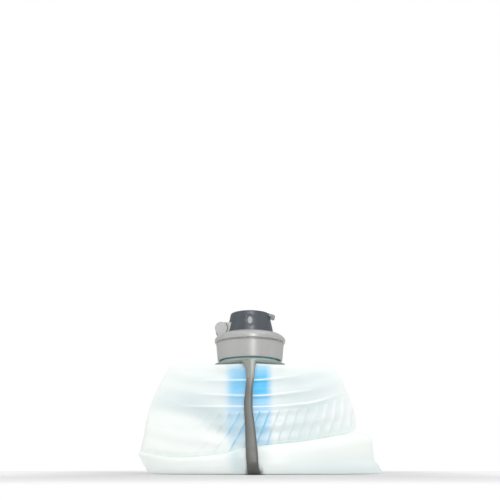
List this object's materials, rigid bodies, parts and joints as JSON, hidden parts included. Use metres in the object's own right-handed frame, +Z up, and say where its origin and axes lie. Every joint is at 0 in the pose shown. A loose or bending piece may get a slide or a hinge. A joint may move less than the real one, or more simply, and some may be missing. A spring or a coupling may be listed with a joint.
{
  "type": "folding water bottle",
  "caption": "Soft translucent bottle folded flat under its screw cap, held by an elastic loop strap, with a flip lid over the spout and a filter inside.",
  "frame": {"origin": "on the floor, under the axis of the neck, at the underside of the strap", "axes": "+Z up along the neck, +X to the user's right, -Y towards the user"},
  "size_m": [0.165, 0.078, 0.1146],
  "materials": {
    "soft_shell": "smooth translucent polyurethane film",
    "base_film": "satin translucent",
    "neck": "satin translucent",
    "strap": "matte",
    "cap": "fine satin",
    "lid": "fine satin",
    "seal": "matte",
    "spout": "satin",
    "pin": "brushed",
    "badge": "satin",
    "badge_mark": "gloss",
    "filter_blue": "translucent",
    "filter_cap": "satin",
    "fibre": "matte",
    "resin": "gloss"
  },
  "bodies": {
    "base": {"bottle_shell": "soft_shell", "base_disc": "base_film"},
    "neck": {"neck_ring": "neck", "strap_collar": "strap"},
    "strap": {"carry_strap": "strap"},
    "cap_seal": {"cap_gasket": "seal"},
    "cap": {"cap_skirt": "cap", "spout_deck": "cap", "drink_spout": "spout", "hinge_pin": "pin"},
    "lid": {"flip_lid": "lid", "badge_plate": "badge", "badge_inlay": "badge_mark", "lid_liner": "spout", "lid_pad": "seal"},
    "filter": {"filter_head": "filter_cap", "filter_o_rings": "seal", "filter_housing": "filter_blue", "filter_cage": "filter_blue", "filter_potting": "resin", "filter_fibres": "fibre", "filter_end_cap": "filter_cap"}
  },
  "joints": [
    {"name": "bottle_extend", "type": "slide", "parent": "base", "child": "neck", "axis": [0, 0, 1], "range_m": [0, 0.165], "deforming": ["bottle_shell"]},
    {"name": "strap_swing", "type": "hinge", "parent": "neck", "child": "strap", "pos_m": [0, 0, 0.0749], "axis": [0, -1, 0], "range_deg": [0, 175], "deforming": ["carry_strap"]},
    {"name": "cap_lift", "type": "slide", "parent": "neck", "child": "cap_seal", "axis": [0, 0, 1], "range_m": [0, 0.00701]},
    {"name": "cap_turn", "type": "hinge", "parent": "cap_seal", "child": "cap", "pos_m": [0, 0, 0], "axis": [0, 0, 1], "range_deg": [0, 630]},
    {"name": "lid_flip", "type": "hinge", "parent": "cap", "child": "lid", "pos_m": [-0.02047, 0, 0.10095], "axis": [0, -1, 0], "range_deg": [0, 150]},
    {"name": "filter_pull", "type": "slide", "parent": "cap", "child": "filter", "axis": [0, 0, -1], "range_m": [0, 0.012]}
  ],
  "couplings": [
    {"joint": "strap_swing", "follows": "bottle_extend", "rad_per_m": 18.51},
    {"joint": "cap_lift", "follows": "cap_turn", "m_per_rad": 0.00063662}
  ]
}
